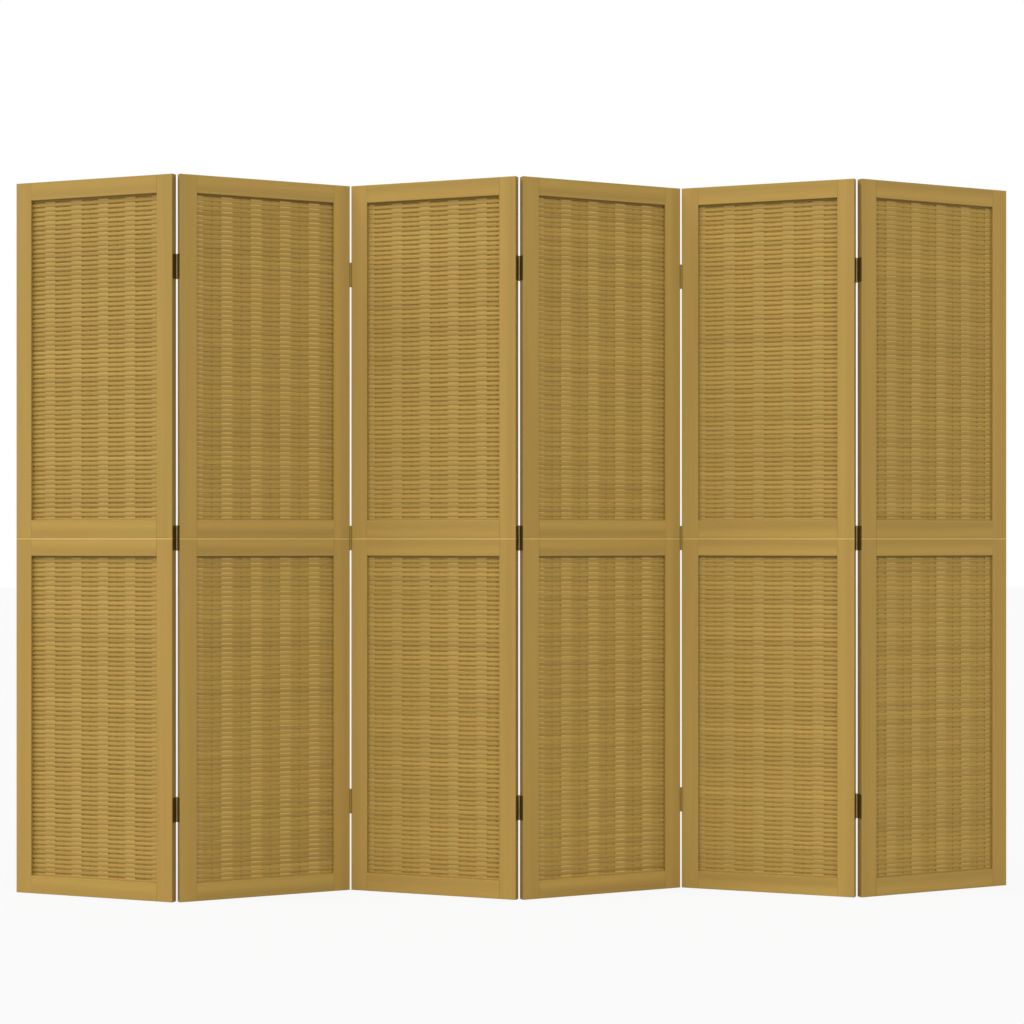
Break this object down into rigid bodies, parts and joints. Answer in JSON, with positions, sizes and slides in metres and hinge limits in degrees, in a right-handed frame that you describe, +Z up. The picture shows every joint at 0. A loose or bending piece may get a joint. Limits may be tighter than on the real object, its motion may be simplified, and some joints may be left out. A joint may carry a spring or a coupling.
{
  "type": "folding privacy screen",
  "caption": "Free-standing folding screen of six hinged wooden panels, each two stacked frames filled with a mat of thin horizontal wooden strips, standing in a zigzag.",
  "frame": {"origin": "on the floor, in the middle of the standing screen's outline", "axes": "+Z up, +X along the screen to the viewer's right, +Y from the front of the screen to its back"},
  "size_m": [2.2602, 0.169, 1.6],
  "materials": {
    "frame_wood": "satin stain, fine straight grain",
    "upright_wood": "matt stain",
    "strip_wood": "satin stain, thin split strips",
    "dowel_wood": "bare wood",
    "hinge_metal": "dark bronzed",
    "screw_metal": "dark bronzed"
  },
  "bodies": {
    "panel_1": {"panel_1_left_stiles": "frame_wood", "panel_1_right_stiles": "frame_wood", "panel_1_rails": "frame_wood", "panel_1_uprights": "upright_wood", "panel_1_strips": "strip_wood", "panel_1_joining_dowels": "dowel_wood", "panel_1_hinge_screws": "screw_metal", "fold_1_left_leaves": "hinge_metal", "fold_1_pins": "hinge_metal"},
    "panel_2": {"panel_2_left_stiles": "frame_wood", "panel_2_right_stiles": "frame_wood", "panel_2_rails": "frame_wood", "panel_2_uprights": "upright_wood", "panel_2_strips": "strip_wood", "panel_2_joining_dowels": "dowel_wood", "panel_2_hinge_screws": "screw_metal", "fold_2_left_leaves": "hinge_metal", "fold_2_pins": "hinge_metal", "fold_1_right_leaves": "hinge_metal"},
    "panel_3": {"panel_3_left_stiles": "frame_wood", "panel_3_right_stiles": "frame_wood", "panel_3_rails": "frame_wood", "panel_3_uprights": "upright_wood", "panel_3_strips": "strip_wood", "panel_3_joining_dowels": "dowel_wood", "panel_3_hinge_screws": "screw_metal", "fold_3_left_leaves": "hinge_metal", "fold_3_pins": "hinge_metal", "fold_2_right_leaves": "hinge_metal"},
    "panel_4": {"panel_4_left_stiles": "frame_wood", "panel_4_right_stiles": "frame_wood", "panel_4_rails": "frame_wood", "panel_4_uprights": "upright_wood", "panel_4_strips": "strip_wood", "panel_4_joining_dowels": "dowel_wood", "panel_4_hinge_screws": "screw_metal", "fold_4_left_leaves": "hinge_metal", "fold_4_pins": "hinge_metal", "fold_3_right_leaves": "hinge_metal"},
    "panel_5": {"panel_5_left_stiles": "frame_wood", "panel_5_right_stiles": "frame_wood", "panel_5_rails": "frame_wood", "panel_5_uprights": "upright_wood", "panel_5_strips": "strip_wood", "panel_5_joining_dowels": "dowel_wood", "panel_5_hinge_screws": "screw_metal", "fold_5_left_leaves": "hinge_metal", "fold_5_pins": "hinge_metal", "fold_4_right_leaves": "hinge_metal"},
    "panel_6": {"panel_6_left_stiles": "frame_wood", "panel_6_right_stiles": "frame_wood", "panel_6_rails": "frame_wood", "panel_6_uprights": "upright_wood", "panel_6_strips": "strip_wood", "panel_6_joining_dowels": "dowel_wood", "panel_6_hinge_screws": "screw_metal", "fold_5_right_leaves": "hinge_metal"}
  },
  "joints": [
    {"name": "fold_2", "type": "hinge", "parent": "panel_3", "child": "panel_2", "pos_m": [-0.37729, 0.06672, 0.8], "axis": [0, 0, 1], "range_deg": [-45.2, 134.8]},
    {"name": "fold_1", "type": "hinge", "parent": "panel_2", "child": "panel_1", "pos_m": [-0.75458, -0.06672, 0.8], "axis": [0, 0, -1], "range_deg": [-45.2, 134.8]},
    {"name": "fold_3", "type": "hinge", "parent": "panel_3", "child": "panel_4", "pos_m": [0, -0.06672, 0.8], "axis": [0, 0, 1], "range_deg": [-45.2, 134.8]},
    {"name": "fold_4", "type": "hinge", "parent": "panel_4", "child": "panel_5", "pos_m": [0.37729, 0.06672, 0.8], "axis": [0, 0, -1], "range_deg": [-45.2, 134.8]},
    {"name": "fold_5", "type": "hinge", "parent": "panel_5", "child": "panel_6", "pos_m": [0.75458, -0.06672, 0.8], "axis": [0, 0, 1], "range_deg": [-45.2, 134.8]}
  ]
}
